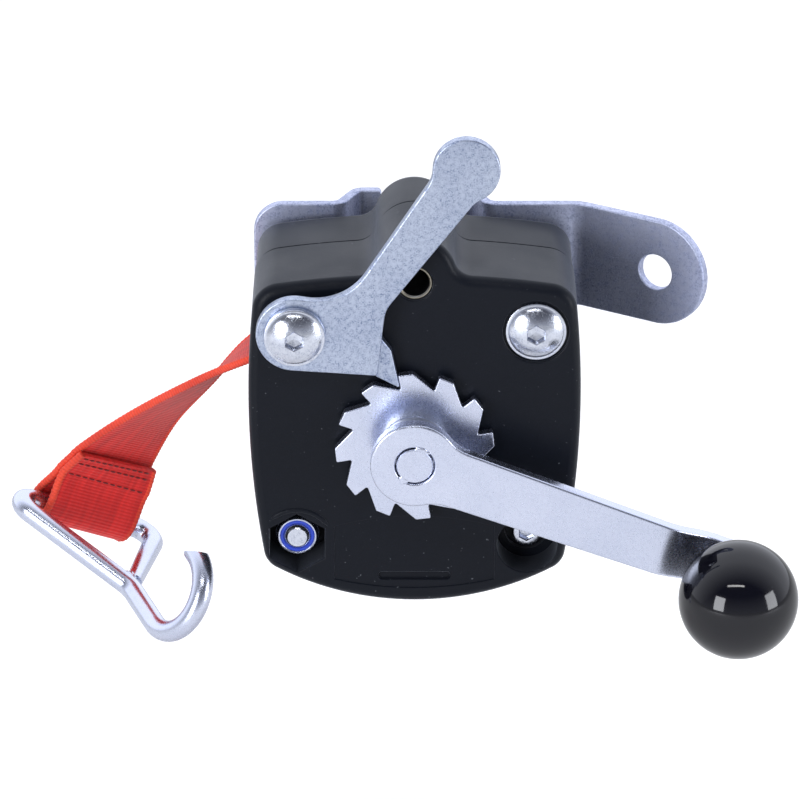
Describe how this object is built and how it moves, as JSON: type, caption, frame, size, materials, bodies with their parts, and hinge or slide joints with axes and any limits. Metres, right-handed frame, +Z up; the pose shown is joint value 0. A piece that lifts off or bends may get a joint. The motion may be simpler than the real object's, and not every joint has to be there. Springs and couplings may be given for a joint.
{
  "type": "boat trailer winch",
  "caption": "Hand-cranked webbing winch with a moulded housing, ratchet wheel, pawl lever, ball-knob crank, plated mounting bracket and a wire hook on red webbing.",
  "frame": {"origin": "on the axis of the through-bolt sleeve, at the housing's front face", "axes": "+Z up, +Y from the crank side to the bracket side along the bolt sleeve, +X from the webbing side to the bracket tab"},
  "size_m": [0.2358, 0.1263, 0.1673],
  "materials": {
    "housing_black": "satin moulded black",
    "drum_plastic": "moulded dark grey",
    "ball_black": "polished phenolic black",
    "dull_zinc": "speckled bluish zinc plate",
    "bright_zinc": "smooth bright zinc plate",
    "turned_steel": "turned",
    "bronze": "turned",
    "red_webbing": "woven polyester",
    "blue_nylon": "dyed nylon"
  },
  "bodies": {
    "housing": {"front_cover": "housing_black", "rear_cover": "housing_black", "mounting_bracket": "dull_zinc", "boss_sleeve": "turned_steel", "front_bush": "bronze", "rear_bush": "bronze", "pawl_bush": "turned_steel", "pawl_washer": "dull_zinc", "pawl_pivot_screw": "bright_zinc", "right_screw": "bright_zinc", "lower_left_bolt": "bright_zinc", "lower_right_screw": "bright_zinc", "lock_nuts": "bright_zinc", "nylon_rings": "blue_nylon", "rear_washers": "dull_zinc", "strap": "red_webbing"},
    "drum": {"thrust_washers": "turned_steel", "drum_shaft": "turned_steel", "drum_core": "drum_plastic", "front_drum_flange": "bright_zinc", "rear_drum_flange": "bright_zinc", "strap_anchor_pin": "turned_steel", "wound_strap": "red_webbing", "ratchet_wheel": "bright_zinc", "wheel_spacer": "turned_steel", "crank_arm": "bright_zinc", "knob_stud": "turned_steel"},
    "knob": {"knob_insert": "bronze", "ball_knob": "ball_black"},
    "pawl": {"pawl_lever": "dull_zinc"},
    "hook": {"hook": "bright_zinc"}
  },
  "joints": [
    {"name": "crank_spin", "type": "hinge", "parent": "housing", "child": "drum", "pos_m": [0, 0, -0.0502], "axis": [0, 1, 0], "continuous": true},
    {"name": "knob_spin", "type": "hinge", "parent": "drum", "child": "knob", "pos_m": [0.09448, -0.035, -0.0859], "axis": [0, 1, 0], "continuous": true},
    {"name": "pawl_swing", "type": "hinge", "parent": "housing", "child": "pawl", "pos_m": [-0.035, -0.005, -0.0132], "axis": [0, -1, 0], "range_deg": [0, 45]},
    {"name": "hook_swing", "type": "hinge", "parent": "housing", "child": "hook", "pos_m": [-0.1034, 0.062, -0.1031], "axis": [-0.7436, -0.4866, 0.4587], "range_deg": [-100, 30]}
  ]
}
